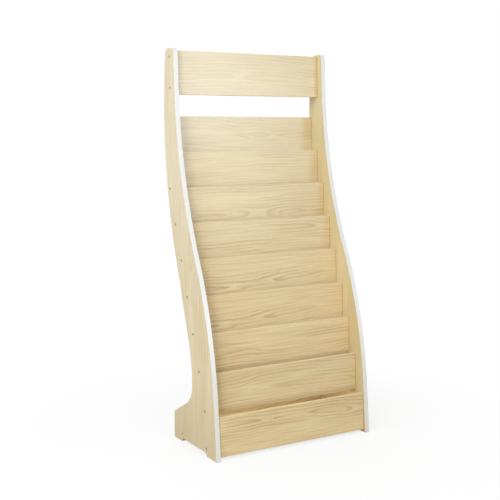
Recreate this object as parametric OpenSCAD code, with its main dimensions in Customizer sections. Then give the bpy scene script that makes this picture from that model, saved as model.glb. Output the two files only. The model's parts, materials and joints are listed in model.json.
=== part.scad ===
// Magazine display rack: two S-curved side panels carry a header, a back board,
// a cascade of pocket tiers and a front board over a base shelf.
// X runs across the rack, +Y to its rear and +Z up. The origin is on the floor,
// midway between the side panels and midway between the foremost and rearmost edge.

/* [Rack] */
// Height of the side panels
rack_h = 1262; // [1130:1:1400]
// Clear width between the side panels
inner_w = 550; // [360:5:900]

/* [Boards] */
// Thickness of the side panels
panel_t = 15; // [12:0.5:22]
// Thickness of the header, lips, ledges and shelf
board_t = 12; // [10:0.5:14]
// Backward lean of all upright boards, in degrees
board_lean = 2; // [0:0.5:4]

/* [Front edge of the side panels] */
// Lean of the lower straight, in degrees
foot_lean = 5.5; // [3:0.5:8]
// Steepest lean, where the two arcs meet, in degrees
sweep_lean = 25.2; // [22:0.2:28]
// Lean of the upper straight, in degrees
head_lean = 2.5; // [0:0.5:5]
// Height where the lower arc starts
bend_start_z = 173; // [140:1:240]
// Height where the two arcs meet
bend_mid_z = 606; // [560:1:650]
// Length of the upper straight, from the head down to the upper arc
head_straight = 104; // [60:1:180]

/* [Rear edge of the side panels] */
// Depth of the panel at its head
head_d = 57.5; // [56:0.5:70]
// Lean of the rear edge at the head, in degrees; it leans forwards there
rear_head_lean = -8; // [-9:0.5:-2]
// Steepest lean of the rear edge, in degrees
rear_sweep_lean = 18.5; // [17:0.5:20]
// Height where the upper arc of the rear edge starts
rear_high_z = 609; // [570:1:640]
// Height where the lower arc of the rear edge ends
rear_low_z = 338; // [300:1:400]
// Height of the waist, where the rear edge is upright
waist_z = 204; // [195:1:230]

/* [Foot and head of the side panels] */
// Depth of the foot on the floor
foot_d = 290; // [278:1:330]
// Fillet radius between the waist and the foot
flare_r = 78; // [65:1:90]
// Slope of the top of the foot, in degrees from level
flare_slope = 28.5; // [24:0.5:32]
// Radius of the upper rear corner of the foot
foot_top_r = 12; // [4:1:20]
// Radius of the lower rear corner of the foot
foot_base_r = 7; // [2:1:12]
// Length of the front floor pad
front_pad = 64; // [45:1:85]
// Length of the rear floor pad
rear_pad = 52; // [35:1:70]
// Height of the arch between the pads
arch_h = 11; // [6:0.5:13]
// Radius of the ends of the arch
arch_r = 22; // [14:1:30]
// Radius of the front corner of the head
head_front_r = 14; // [8:1:18]
// Radius of the rear corner of the head
head_rear_r = 20; // [10:1:24]

/* [Front edging] */
// Thickness of the white edging
band_t = 1; // [0.5:0.1:2]
// Length of edging on the top, past the front corner
band_wrap = 3; // [1:0.5:6]
// Gap between the floor and the lower end of the edging
band_lift = 0.5; // [0.3:0.1:3]

/* [Header and back board] */
// Height of the header board
header_h = 139; // [110:1:150]
// Distance from the head of the side panels down to the header
header_drop = 6.2; // [4:0.2:12]
// Distance from the front edge back to the top of the header
header_inset = 25.5; // [20:0.5:30]
// Height of the see-through slot between the header and the back board
slot_h = 69.2; // [50:0.2:90]
// Height of the back board
back_h = 124; // [100:1:140]
// Distance from the rear edge forward to the top of the back board
back_inset = 2.5; // [1:0.1:5]

/* [Pocket tiers] */
// Height of a lip above its ledge
lip_h = 112; // [90:1:118]
// Depth of a ledge
ledge_d = 36; // [30:0.5:38]
// Rise from the top of the front board to the top of the lowest lip
first_rise = 125.3; // [118:0.1:135]
// Step back from the top of the front board to the top of the lowest lip
first_run = 46.1; // [42:0.1:50]
// How far the lowest tier sits below an even step
low_tier_drop = 4.7; // [0:0.1:10]
// How far the back board sits above an even step
back_lift = 1.8; // [0:0.1:10]

/* [Base] */
// Height of the front board
front_h = 124.7; // [110:0.1:135]
// Height of the front board above the floor
front_gap = 9; // [4:0.5:14]
// Distance from the front edge back to the top of the front board
front_inset = 3; // [1.5:0.5:8]
// Height of the underside of the base shelf
shelf_z = 19; // [16:0.5:24]
// Depth of the base shelf
shelf_d = 250; // [220:1:254]
// Height of the rear rail
rail_h = 56; // [40:1:60]

/* [Fasteners] */
// Diameter of the panel screws
panel_screw_d = 5; // [4:0.5:6]
// Length of the panel screws
panel_screw_l = 50; // [35:1:60]
// Diameter of the heads of the panel screws
panel_head_d = 9; // [8:0.5:10]
// Width across the corners of the hexagon sockets
socket_d = 4.6; // [3:0.1:5]
// Depth of the hexagon sockets
socket_l = 3; // [2:0.5:4]
// Distance from the edges of the header to its screws
header_screw_inset = 20.5; // [15:0.5:35]
// Distance from the front and rear edge of the shelf to its screws
shelf_screw_inset = 42; // [25:1:60]
// Diameter of the screws from below
under_screw_d = 3.5; // [3:0.5:4.5]
// Length of the screws from below
under_screw_l = 35; // [25:1:45]
// Diameter of the heads of the screws from below
under_head_d = 7; // [6:0.5:8]
// Distance from the side panels to the outer screws from below
under_inset = 80; // [60:5:120]
// Diameter of the dowels
dowel_d = 6; // [5:0.5:7]
// Length of the dowels
dowel_l = 30; // [24:1:40]
// Depth of the dowels in the side panels
panel_bite = 10; // [8:0.5:11]
// Depth of the dowels in the front board
front_bite = 8; // [6:0.5:8.5]
// Distance from the edges of a doweled board to its end dowels
dowel_inset = 30; // [20:1:40]
// Play between a fastener and its hole, all round
hole_play = 0.1; // [0.05:0.05:0.2]
// Room left at the blind end of a hole
hole_end_play = 0.5; // [0.2:0.1:1]

/* [Hidden] */
$fn = 48;
tiers = 7;

wood = [0.91, 0.86, 0.74];
edging = [0.96, 0.96, 0.97];
steel = [0.62, 0.62, 0.64];
beech = [0.80, 0.66, 0.46];

// Points on the long arcs and on the corners
edge_steps = 60;
rear_steps = 40;
corner_steps = 12;
// Overshoot of a cut past a face
cut = 1;

// Profile points are [y, z], with y measured from the front edge at the floor.
// The front edge is a straight, an arc, a counter-arc and a straight, all tangent.
bend_end_z = rack_h - head_straight;
lower_r = (bend_mid_z - bend_start_z) / (sin(sweep_lean) - sin(foot_lean));
upper_r = (bend_end_z - bend_mid_z) / (sin(sweep_lean) - sin(head_lean));
bend_start_y = bend_start_z * tan(foot_lean);
bend_mid_y = bend_start_y + lower_r * (cos(foot_lean) - cos(sweep_lean));
bend_end_y = bend_mid_y + upper_r * (cos(head_lean) - cos(sweep_lean));

function front_lean(z) =
    z < bend_start_z ? foot_lean :
    z < bend_mid_z ? asin(sin(foot_lean) + (z - bend_start_z) / lower_r) :
    z < bend_end_z ? asin(sin(sweep_lean) - (z - bend_mid_z) / upper_r) :
    head_lean;

function front_y(z) =
    z < bend_start_z ? z * tan(foot_lean) :
    z < bend_mid_z ? bend_start_y + lower_r * (cos(foot_lean) - cos(front_lean(z))) :
    z < bend_end_z ? bend_mid_y + upper_r * (cos(front_lean(z)) - cos(sweep_lean)) :
    bend_end_y + (z - bend_end_z) * tan(head_lean);

// The rear edge hangs from the head: an arc, a straight and an arc down to the waist
rear_upper_r = (rack_h - rear_high_z) / (sin(rear_sweep_lean) - sin(rear_head_lean));
rear_lower_r = (rear_low_z - waist_z) / sin(rear_sweep_lean);
rear_high_y = front_y(rack_h) + head_d - rear_upper_r * (cos(rear_head_lean) - cos(rear_sweep_lean));
rear_low_y = rear_high_y - (rear_high_z - rear_low_z) * tan(rear_sweep_lean);
waist_y = rear_low_y - rear_lower_r * (1 - cos(rear_sweep_lean));

function rear_lean(z) =
    z > rear_high_z ? asin(sin(rear_sweep_lean) - (z - rear_high_z) / rear_upper_r) :
    z > rear_low_z ? rear_sweep_lean :
    asin((z - waist_z) / rear_lower_r);

function rear_y(z) =
    z > rear_high_z ? rear_high_y + rear_upper_r * (cos(rear_lean(z)) - cos(rear_sweep_lean)) :
    z > rear_low_z ? rear_high_y - (rear_high_z - z) * tan(rear_sweep_lean) :
    waist_y + rear_lower_r * (1 - cos(rear_lean(z)));

// Even steps, an arc about a centre, and a list turned round
function steps(from, to, count) = [for (i = [0:count]) from + (to - from) * i / count];
function arc(centre, r, from, to) =
    [for (a = steps(from, to, corner_steps)) centre + r * [cos(a), sin(a)]];
function backwards(list) = [for (i = [len(list) - 1:-1:0]) list[i]];

// Front corner of the head, with the edging line set in from the outline
front_corner = [
    front_y(rack_h - head_front_r * (1 - sin(head_lean))) + head_front_r * cos(head_lean),
    rack_h - head_front_r
];
band_end_y = front_corner.x + band_wrap;

function front_line(inset, from_z) = concat(
    [for (z = concat([from_z], steps(bend_start_z, bend_end_z, edge_steps)))
        [front_y(z) + inset / cos(front_lean(z)), z]],
    arc(front_corner, head_front_r - inset, 180 - head_lean, 90),
    [[band_end_y, rack_h - inset]]
);

// Rear corner of the head, then down the rear edge to the waist
rear_corner_lean = rear_lean(rack_h - head_rear_r);
rear_corner_z = rack_h - head_rear_r * (1 + sin(rear_corner_lean));
rear_corner = [rear_y(rear_corner_z) - head_rear_r * cos(rear_corner_lean), rack_h - head_rear_r];
rear_line = concat(
    arc(rear_corner, head_rear_r, 90, -rear_corner_lean),
    [for (z = steps(rear_corner_z, rear_high_z, rear_steps)) if (z < rear_corner_z) [rear_y(z), z]],
    [for (z = steps(rear_low_z, waist_z, corner_steps)) if (z > waist_z) [rear_y(z), z]]
);

// Foot: fillet, sloping top, two rear corners, floor pads and the arch between them
flare_centre = [waist_y + flare_r, waist_z];
flare_end = flare_centre - flare_r * [sin(flare_slope), cos(flare_slope)];
foot_top_y = foot_d - foot_top_r * (1 - sin(flare_slope));
foot_top_z = flare_end.y - (foot_top_y - flare_end.x) * tan(flare_slope);
arch_end_a = asin((arch_r - arch_h) / arch_r);
foot_line = concat(
    arc(flare_centre, flare_r, 180, 270 - flare_slope),
    arc([foot_d - foot_top_r, foot_top_z - foot_top_r * cos(flare_slope)], foot_top_r,
        90 - flare_slope, 0),
    arc([foot_d - foot_base_r, foot_base_r], foot_base_r, 0, -90),
    arc([foot_d - rear_pad - arch_r * cos(arch_end_a), arch_h - arch_r], arch_r, arch_end_a, 90),
    arc([front_pad + arch_r * cos(arch_end_a), arch_h - arch_r], arch_r, 90, 180 - arch_end_a)
);

panel_outline = concat(front_line(band_t, 0), [[band_end_y, rack_h]], rear_line, foot_line);
rack_front_y = front_y(band_lift);
rack_rear_y = max([for (p = panel_outline) p.x]);

// A point on a leaning board, from the profile point of its lower front edge
function on_board(foot, back, up) =
    foot + back * [cos(board_lean), -sin(board_lean)] + up * [sin(board_lean), cos(board_lean)];

// Lower front edges of the leaning boards
front_foot_z = front_gap;
front_top_z = front_foot_z + front_h * cos(board_lean);
front_top = [front_y(front_top_z) + front_inset, front_top_z];
front_foot = on_board(front_top, 0, -front_h);

header_top_z = rack_h - header_drop;
header_foot = on_board([front_y(header_top_z) + header_inset, header_top_z], 0, -header_h);

back_top_z = header_foot.y - slot_h;
back_top = on_board([rear_y(back_top_z) - back_inset, back_top_z], -board_t, 0);
back_foot = on_board(back_top, 0, -back_h);

// The tiers climb in even steps from the front board to the back board
low_lip_top = front_top + [first_run, first_rise];
tier_run = (back_top.x - low_lip_top.x) / tiers;
tier_rise = (back_top.y - back_lift - low_lip_top.y - low_tier_drop) / tiers;
function lip_top(tier) =
    low_lip_top + (tier - 1) * [tier_run, tier_rise] + [0, tier > 1 ? low_tier_drop : 0];
function tier_foot(tier) = on_board(lip_top(tier), 0, -lip_h - board_t);

// Base shelf and rear rail
shelf_y = on_board(front_foot, board_t, (shelf_z + board_t - front_gap) / cos(board_lean)).x;
shelf_mid_z = shelf_z + board_t / 2;
rail_y = shelf_y + shelf_d - board_t;

// Where the panel screws, end dowels and screws from below go
panel_screw_spots = concat(
    [for (up = [header_screw_inset, header_h - header_screw_inset])
        on_board(header_foot, board_t / 2, up)],
    [for (tier = [1:tiers]) on_board(tier_foot(tier), ledge_d / 2, board_t / 2)],
    [for (y = [shelf_screw_inset, shelf_d - shelf_screw_inset]) [shelf_y + y, shelf_mid_z]]
);
end_dowel_spots = concat(
    [for (up = [dowel_inset, back_h - dowel_inset]) on_board(back_foot, board_t / 2, up)],
    [for (up = [dowel_inset, front_h - dowel_inset]) on_board(front_foot, board_t / 2, up)],
    [for (tier = [1:tiers]) on_board(tier_foot(tier), board_t / 2, board_t + lip_h - dowel_inset)]
);
under_spots_x = [under_inset - inner_w / 2, 0, inner_w / 2 - under_inset];

// Moves the profile's zero to the middle of the depth
module centred() {
    translate([0, -(rack_front_y + rack_rear_y) / 2, 0]) children();
}

// Puts children, drawn on a board's lower front edge, at a profile point
module on_profile(point, lean = board_lean) {
    translate([0, point.x, point.y]) rotate([-lean, 0, 0]) children();
}

module both_sides() {
    children();
    mirror([1, 0, 0]) children();
}

// A board across the rack, its lower front edge on the X axis
module board(depth, height) {
    translate([-inner_w / 2, 0, 0]) cube([inner_w, depth, height]);
}

// Turns a shape drawn along +Z to run inwards from the right panel's outer or inner face
module inwards(x) {
    translate([x, 0, 0]) rotate([0, -90, 0]) children();
}

// Countersunk screw along +Z from its head, and the hole that takes it
module screw(d, length, head_d) {
    rotate_extrude() polygon([
        [0, 0], [head_d / 2, 0], [d / 2, (head_d - d) / 2],
        [d / 2, length - d], [0, length]
    ]);
}

module screw_hole(d, length, head_d) {
    translate([0, 0, -cut]) cylinder(d = head_d + 2 * hole_play, h = cut + hole_play);
    translate([0, 0, hole_play])
        cylinder(d1 = head_d + 2 * hole_play, d2 = d + 2 * hole_play, h = (head_d - d) / 2);
    cylinder(d = d + 2 * hole_play, h = length + hole_end_play);
}

module panel_screw_hole() {
    inwards(inner_w / 2 + panel_t) screw_hole(panel_screw_d, panel_screw_l, panel_head_d);
}

module end_dowel_hole() {
    inwards(inner_w / 2 + panel_bite + hole_end_play)
        cylinder(d = dowel_d + 2 * hole_play, h = dowel_l + 2 * hole_end_play);
}

module front_dowel_holes() {
    for (x = under_spots_x)
        translate([x, shelf_y - front_bite - hole_end_play, shelf_mid_z]) rotate([-90, 0, 0])
            cylinder(d = dowel_d + 2 * hole_play, h = dowel_l + 2 * hole_end_play);
}

module tier_screw_holes() {
    for (x = under_spots_x)
        translate([x, board_t / 2, 0]) screw_hole(under_screw_d, under_screw_l, under_head_d);
}

module rail_screw_holes() {
    for (x = under_spots_x)
        translate([x, rail_y + board_t / 2, shelf_z])
            screw_hole(under_screw_d, under_screw_l, under_head_d);
}

// Side panels and their edging, drawn on the right
module side_panel() {
    centred() difference() {
        translate([inner_w / 2, 0, 0]) rotate([90, 0, 90]) linear_extrude(panel_t)
            polygon(panel_outline);
        for (spot = panel_screw_spots) on_profile(spot, 0) panel_screw_hole();
        for (spot = end_dowel_spots) on_profile(spot, 0) end_dowel_hole();
    }
}

module front_band() {
    centred() translate([inner_w / 2, 0, 0]) rotate([90, 0, 90]) linear_extrude(panel_t)
        polygon(concat(front_line(0, band_lift), backwards(front_line(band_t, band_lift))));
}

module left_side_panel() {
    color(wood) mirror([1, 0, 0]) side_panel();
}

module right_side_panel() {
    color(wood) side_panel();
}

module left_front_band() {
    color(edging) mirror([1, 0, 0]) front_band();
}

module right_front_band() {
    color(edging) front_band();
}

// Header, held by two screws at either end
module header_board() {
    color(wood) centred() difference() {
        on_profile(header_foot) board(board_t, header_h);
        for (up = [header_screw_inset, header_h - header_screw_inset])
            both_sides() on_profile(on_board(header_foot, board_t / 2, up), 0) panel_screw_hole();
    }
}

// An upright board with two dowels at either end, drawn at its profile point
module doweled_board(foot, height) {
    difference() {
        on_profile(foot) board(board_t, height);
        for (up = [dowel_inset, height - dowel_inset])
            both_sides() on_profile(on_board(foot, board_t / 2, up), 0) end_dowel_hole();
    }
}

module back_board() {
    color(wood) centred() doweled_board(back_foot, back_h);
}

// Front board, also doweled to the shelf behind it
module front_board() {
    color(wood) centred() difference() {
        doweled_board(front_foot, front_h);
        front_dowel_holes();
    }
}

module base_shelf() {
    color(wood) centred() difference() {
        translate([0, shelf_y, shelf_z]) board(shelf_d, board_t);
        for (y = [shelf_screw_inset, shelf_d - shelf_screw_inset])
            both_sides() on_profile([shelf_y + y, shelf_mid_z], 0) panel_screw_hole();
        front_dowel_holes();
        rail_screw_holes();
    }
}

module rear_rail() {
    color(wood) centred() difference() {
        translate([0, rail_y, shelf_z + board_t]) board(board_t, rail_h);
        rail_screw_holes();
    }
}

// A pocket tier: a lip that stands on the front of its ledge
module pocket_lip(tier) {
    color(wood) centred() on_profile(tier_foot(tier)) difference() {
        translate([0, 0, board_t]) board(board_t, lip_h);
        translate([0, board_t / 2, board_t + lip_h - dowel_inset]) both_sides() end_dowel_hole();
        tier_screw_holes();
    }
}

module pocket_ledge(tier) {
    color(wood) centred() on_profile(tier_foot(tier)) difference() {
        board(ledge_d, board_t);
        translate([0, ledge_d / 2, board_t / 2]) both_sides() panel_screw_hole();
        tier_screw_holes();
    }
}

// Fasteners
module panel_screws() {
    color(steel) centred() both_sides() for (spot = panel_screw_spots)
        on_profile(spot, 0) inwards(inner_w / 2 + panel_t) difference() {
            screw(panel_screw_d, panel_screw_l, panel_head_d);
            translate([0, 0, -cut]) cylinder(d = socket_d, h = socket_l + cut, $fn = 6);
        }
}

module underside_screws() {
    color(steel) centred() for (x = under_spots_x) {
        for (tier = [1:tiers]) on_profile(tier_foot(tier))
            translate([x, board_t / 2, 0]) screw(under_screw_d, under_screw_l, under_head_d);
        translate([x, rail_y + board_t / 2, shelf_z])
            screw(under_screw_d, under_screw_l, under_head_d);
    }
}

module dowels() {
    color(beech) centred() {
        both_sides() for (spot = end_dowel_spots)
            on_profile(spot, 0) inwards(inner_w / 2 + panel_bite) cylinder(d = dowel_d, h = dowel_l);
        for (x = under_spots_x)
            translate([x, shelf_y - front_bite, shelf_mid_z]) rotate([-90, 0, 0])
                cylinder(d = dowel_d, h = dowel_l);
    }
}

left_side_panel();
right_side_panel();
left_front_band();
right_front_band();
header_board();
back_board();
front_board();
base_shelf();
rear_rail();
pocket_lip(1);  // pocket_lip_1
pocket_lip(2);  // pocket_lip_2
pocket_lip(3);  // pocket_lip_3
pocket_lip(4);  // pocket_lip_4
pocket_lip(5);  // pocket_lip_5
pocket_lip(6);  // pocket_lip_6
pocket_lip(7);  // pocket_lip_7
pocket_ledge(1);  // pocket_ledge_1
pocket_ledge(2);  // pocket_ledge_2
pocket_ledge(3);  // pocket_ledge_3
pocket_ledge(4);  // pocket_ledge_4
pocket_ledge(5);  // pocket_ledge_5
pocket_ledge(6);  // pocket_ledge_6
pocket_ledge(7);  // pocket_ledge_7
panel_screws();
underside_screws();
dowels();
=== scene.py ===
"""Looks of a magazine display rack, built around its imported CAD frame.

Two S-curved side panels of ash laminate carry a header, a back board, seven pocket tiers and a
front board over a base shelf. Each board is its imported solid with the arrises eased, the faces
laminated, the edges taped and the holes left in bare chipboard. The white edging follows the rule
of the front edge, and the screws and dowels are set out on their points, by Geometry Nodes.

Lengths are in metres. X runs across the rack, +Y to its rear and +Z up.
"""

import json
import logging
import math
from abc import ABC, abstractmethod
from collections.abc import Iterable, Mapping, Sequence
from dataclasses import dataclass, field, replace
from enum import Enum, IntEnum
from typing import Any

import bmesh
import bpy
import numpy as np
from bmesh.types import BMEdge, BMesh, BMFace, BMVert
from bpy.types import Material, Mesh, Node, NodeTree, Object, World
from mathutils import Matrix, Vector
from mathutils.kdtree import KDTree

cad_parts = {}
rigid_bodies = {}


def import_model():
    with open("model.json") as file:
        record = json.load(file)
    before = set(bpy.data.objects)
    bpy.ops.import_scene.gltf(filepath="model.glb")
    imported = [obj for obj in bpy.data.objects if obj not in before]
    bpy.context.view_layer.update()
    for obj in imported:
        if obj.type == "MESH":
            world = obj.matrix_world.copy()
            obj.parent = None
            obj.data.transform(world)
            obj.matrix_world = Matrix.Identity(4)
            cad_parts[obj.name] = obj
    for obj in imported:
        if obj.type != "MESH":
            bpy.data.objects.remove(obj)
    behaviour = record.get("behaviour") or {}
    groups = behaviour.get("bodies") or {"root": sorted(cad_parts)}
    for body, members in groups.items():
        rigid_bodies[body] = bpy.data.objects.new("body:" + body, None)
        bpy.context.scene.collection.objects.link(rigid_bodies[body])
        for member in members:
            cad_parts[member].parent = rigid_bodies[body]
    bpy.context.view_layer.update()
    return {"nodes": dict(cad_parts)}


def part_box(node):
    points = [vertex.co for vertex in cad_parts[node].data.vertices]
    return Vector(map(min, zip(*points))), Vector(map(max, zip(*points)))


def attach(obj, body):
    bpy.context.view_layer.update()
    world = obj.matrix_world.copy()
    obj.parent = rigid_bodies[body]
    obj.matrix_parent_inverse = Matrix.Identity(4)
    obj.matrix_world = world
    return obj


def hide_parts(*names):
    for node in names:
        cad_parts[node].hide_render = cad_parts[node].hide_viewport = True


for leftover in list(bpy.data.objects):
    bpy.data.objects.remove(leftover)

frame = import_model()

Colour = tuple[float, float, float]
Point = tuple[float, float, float]
Pair = tuple[float, float]
Sockets = Mapping[str | int, Any]

MM = 0.001
BODY = "root"
GRAIN = "grain"
INWARD = "inward"
WHITE = (1.0, 1.0, 1.0)

# Places nearer than this are one place
TOUCH = 0.001 * MM
# Turns between faces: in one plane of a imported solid, in one that was cut, and at an arris
SAME_PLANE = math.radians(0.5)
CUT_PLANE = 0.001
SHARP = math.radians(45.0)
# Turns from which an edge shows as sharp, on a board and on a fastener
FLAT = math.radians(14.0)
ROUND = math.radians(50.0)
# How far the pattern moves on from a board's front face to its rear one
OTHER_FACE = 0.61

log = logging.getLogger("rack")


class Slot(IntEnum):
    """Material slots of a board, by what a face of it shows."""

    LAMINATE = 0
    TAPE = 1
    CORE = 2


# Node trees


@dataclass(frozen=True)
class Sock:
    """An output of a node that takes part in Python expressions, which add Math nodes."""

    bench: "Bench"
    node: Node
    key: str | int = 0

    def __getitem__(self, key: str | int) -> "Sock":
        """Another output of the same node."""
        return replace(self, key=key)

    def __add__(self, other: "Value") -> "Sock":
        """Sum."""
        return self.bench.maths("ADD", self, other)

    __radd__ = __add__

    def __sub__(self, other: "Value") -> "Sock":
        """Difference."""
        return self.bench.maths("SUBTRACT", self, other)

    def __rsub__(self, other: "Value") -> "Sock":
        """Difference from a number."""
        return self.bench.maths("SUBTRACT", other, self)

    def __mul__(self, other: "Value") -> "Sock":
        """Product."""
        return self.bench.maths("MULTIPLY", self, other)

    __rmul__ = __mul__

    def axis(self, name: str) -> "Sock":
        """One coordinate of a vector."""
        return self.bench.node("ShaderNodeSeparateXYZ", {0: self})[name]

    def ramp(self, low: float, high: float) -> "Sock":
        """A smooth step from 0 at low to 1 at high, which may be the lower of the two."""
        ends = {"Value": self, "From Min": low, "From Max": high}
        return self.bench.node("ShaderNodeMapRange", ends, interpolation_type="SMOOTHSTEP")["Result"]

    def spread(self, gain: float, base: float) -> "Sock":
        """Noise made a share from 0 to 1, by a gain about a base."""
        return (self * gain + base).ramp(0.0, 1.0)


Value = Sock | float
Tint = Sock | Colour


class Bench:
    """Makes and joins the nodes of one tree."""

    def __init__(self, tree: NodeTree) -> None:
        """Starts an empty tree."""
        self.tree = tree
        tree.nodes.clear()

    @classmethod
    def of(cls, owner: Material | World) -> "Bench":
        """The bench for a material's or a world's own tree."""
        owner.use_nodes = True
        return cls(owner.node_tree)

    def node(self, kind: str, sockets: Sockets | None = None, **settings: Any) -> Sock:
        """Adds a node.

        Args:
            kind: Blender's name for the node type.
            sockets: Values or links of its inputs, by name or index.
            **settings: The node's own properties, which are set first.

        Returns:
            The node's first output, from which its others are had by name or index.
        """
        made = self.tree.nodes.new(kind)
        for name, value in settings.items():
            setattr(made, name, value)
        for key, value in (sockets or {}).items():
            socket = made.inputs[key]
            if isinstance(value, Sock):
                self.tree.links.new(value.node.outputs[value.key], socket)
            else:
                socket.default_value = (*value, 1.0) if socket.type == "RGBA" else value
        return Sock(self, made)

    def maths(self, operation: str, *values: Value) -> Sock:
        """A Math node on one, two or three values."""
        return self.node("ShaderNodeMath", dict(enumerate(values)), operation=operation)

    def stretched(self, where: Sock, scale: Point) -> Sock:
        """A vector multiplied axis by axis."""
        return self.node("ShaderNodeVectorMath", {0: where, 1: scale}, operation="MULTIPLY")

    def noise(self, where: Sock, scale: Point, detail: float = 2.0) -> Sock:
        """Soft noise, mostly between -0.3 and 0.3, at so many waves per metre along each axis."""
        sockets = {"Vector": self.stretched(where, scale), "Scale": 1.0, "Detail": detail}
        return self.node("ShaderNodeTexNoise", sockets)["Fac"] - 0.5

    def mixed(self, share: Value, first: Tint, second: Tint) -> Sock:
        """The first colour turning into the second as the share goes from 0 to 1."""
        return self.node("ShaderNodeMix", {0: share, 6: first, 7: second}, data_type="RGBA")[2]

    def bump(self, height: Sock, depth: float, strength: float) -> Sock:
        """A normal from a height, of which 1 stands for the depth in metres."""
        sockets = {"Height": height, "Distance": depth, "Strength": strength}
        return self.node("ShaderNodeBump", sockets)["Normal"]

    def place(self) -> Sock:
        """Object coordinates, which are the row frame's, because each piece sits at the origin."""
        return self.node("ShaderNodeTexCoord")["Object"]

    def attribute(self, name: str) -> Sock:
        """A vector that a piece carries on its face corners."""
        return self.node("ShaderNodeAttribute", attribute_name=name)["Vector"]


class Grower(Bench):
    """A geometry tree that makes something of a mesh, and whose last input is a finish."""

    def __init__(self, name: str, **inputs: str) -> None:
        """Starts the tree with named inputs.

        Args:
            name: The tree's name.
            **inputs: Socket type of each input between the geometry and the finish.
        """
        super().__init__(bpy.data.node_groups.new(name, "GeometryNodeTree"))
        new_socket = self.tree.interface.new_socket
        for label, kind in {"geometry": "Geometry", **inputs, "finish": "Material"}.items():
            new_socket(name=label, in_out="INPUT", socket_type=f"NodeSocket{kind}")
        new_socket(name="geometry", in_out="OUTPUT", socket_type="NodeSocketGeometry")
        self.start = self.node("NodeGroupInput")

    def finish(self, shape: Sock) -> None:
        """Ends the tree in real meshes that wear the finish.

        Args:
            shape: The geometry so far.
        """
        real = self.node("GeometryNodeRealizeInstances", {"Geometry": shape})
        sockets = {"Geometry": real, "Material": self.start["finish"]}
        self.node("NodeGroupOutput", {0: self.node("GeometryNodeSetMaterial", sockets)})

    def grow(self, start: Mesh, **inputs: Any) -> Mesh:
        """What the tree makes of a mesh.

        Args:
            start: The mesh that goes in, such as points or a path.
            **inputs: Values of the named inputs.

        Returns:
            A plain mesh that no modifier holds.
        """
        carrier = placed(self.tree.name, start)
        modifier = carrier.modifiers.new(self.tree.name, "NODES")
        modifier.node_group = self.tree
        for item in self.tree.interface.items_tree:
            if item.name in inputs:
                modifier[item.identifier] = inputs[item.name]
        graph = bpy.context.evaluated_depsgraph_get()
        plain = bpy.data.meshes.new_from_object(carrier.evaluated_get(graph), depsgraph=graph)
        carrier.modifiers.remove(modifier)
        bpy.data.objects.remove(carrier)
        return plain


# Finishes


made_finishes: dict[str, Material] = {}


@dataclass(frozen=True)
class Finish(ABC):
    """A surface finish, which makes its own material."""

    name: str

    @abstractmethod
    def sockets(self, bench: Bench) -> Sockets:
        """What the finish gives the Principled node.

        Args:
            bench: The material's tree.

        Returns:
            Values and links of the node's inputs.
        """

    def material(self) -> Material:
        """Makes the finish's material on first use.

        Returns:
            The material.
        """
        if self.name not in made_finishes:
            made = made_finishes[self.name] = bpy.data.materials.new(self.name)
            bench = Bench.of(made)
            shader = bench.node("ShaderNodeBsdfPrincipled", self.sockets(bench))
            bench.node("ShaderNodeOutputMaterial", {"Surface": shader})
        return made_finishes[self.name]


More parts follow.
